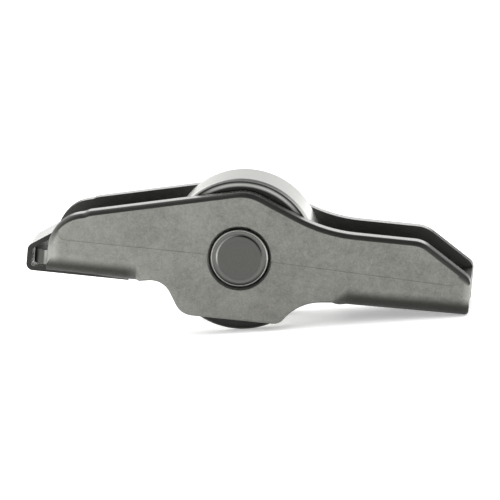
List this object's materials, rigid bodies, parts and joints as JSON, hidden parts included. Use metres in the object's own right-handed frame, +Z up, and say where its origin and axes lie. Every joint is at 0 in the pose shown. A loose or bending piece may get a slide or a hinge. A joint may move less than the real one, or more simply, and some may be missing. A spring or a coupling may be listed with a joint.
{
  "type": "roller finger follower rocker arm",
  "caption": "Stamped-steel roller finger rocker arm: ball socket with spring clip at one end, needle-bearing cam roller in the middle, valve pad at the other.",
  "frame": {"origin": "the cam roller's axis at the arm's mid width", "axes": "+X level towards the valve end, +Y along the roller's pin, +Z up, as the arm rests on its roller and its nose"},
  "size_m": [0.0523, 0.0132, 0.018],
  "materials": {
    "arm_steel": "tumbled satin, carburised grey",
    "pin_steel": "dark, hardened and staked",
    "clip_steel": "dark spring steel",
    "roller_steel": "ground and polished",
    "needle_steel": "ground"
  },
  "bodies": {
    "arm": {"arm_body": "arm_steel", "axle_pin": "pin_steel", "retaining_clip": "clip_steel"},
    "roller": {"roller_ring": "roller_steel"},
    "needles": {"needle_01": "needle_steel", "needle_02": "needle_steel", "needle_03": "needle_steel", "needle_04": "needle_steel", "needle_05": "needle_steel", "needle_06": "needle_steel", "needle_07": "needle_steel", "needle_08": "needle_steel", "needle_09": "needle_steel", "needle_10": "needle_steel", "needle_11": "needle_steel", "needle_12": "needle_steel", "needle_13": "needle_steel", "needle_14": "needle_steel", "needle_15": "needle_steel", "needle_16": "needle_steel", "needle_17": "needle_steel"}
  },
  "joints": [
    {"name": "roller_spin", "type": "hinge", "parent": "arm", "child": "roller", "pos_m": [0, 0, 0], "axis": [0, 1, 0], "continuous": true},
    {"name": "needle_orbit", "type": "hinge", "parent": "arm", "child": "needles", "pos_m": [0, 0, 0], "axis": [0, 1, 0], "continuous": true}
  ],
  "couplings": [
    {"joint": "needle_orbit", "follows": "roller_spin", "ratio": 0.5933}
  ]
}
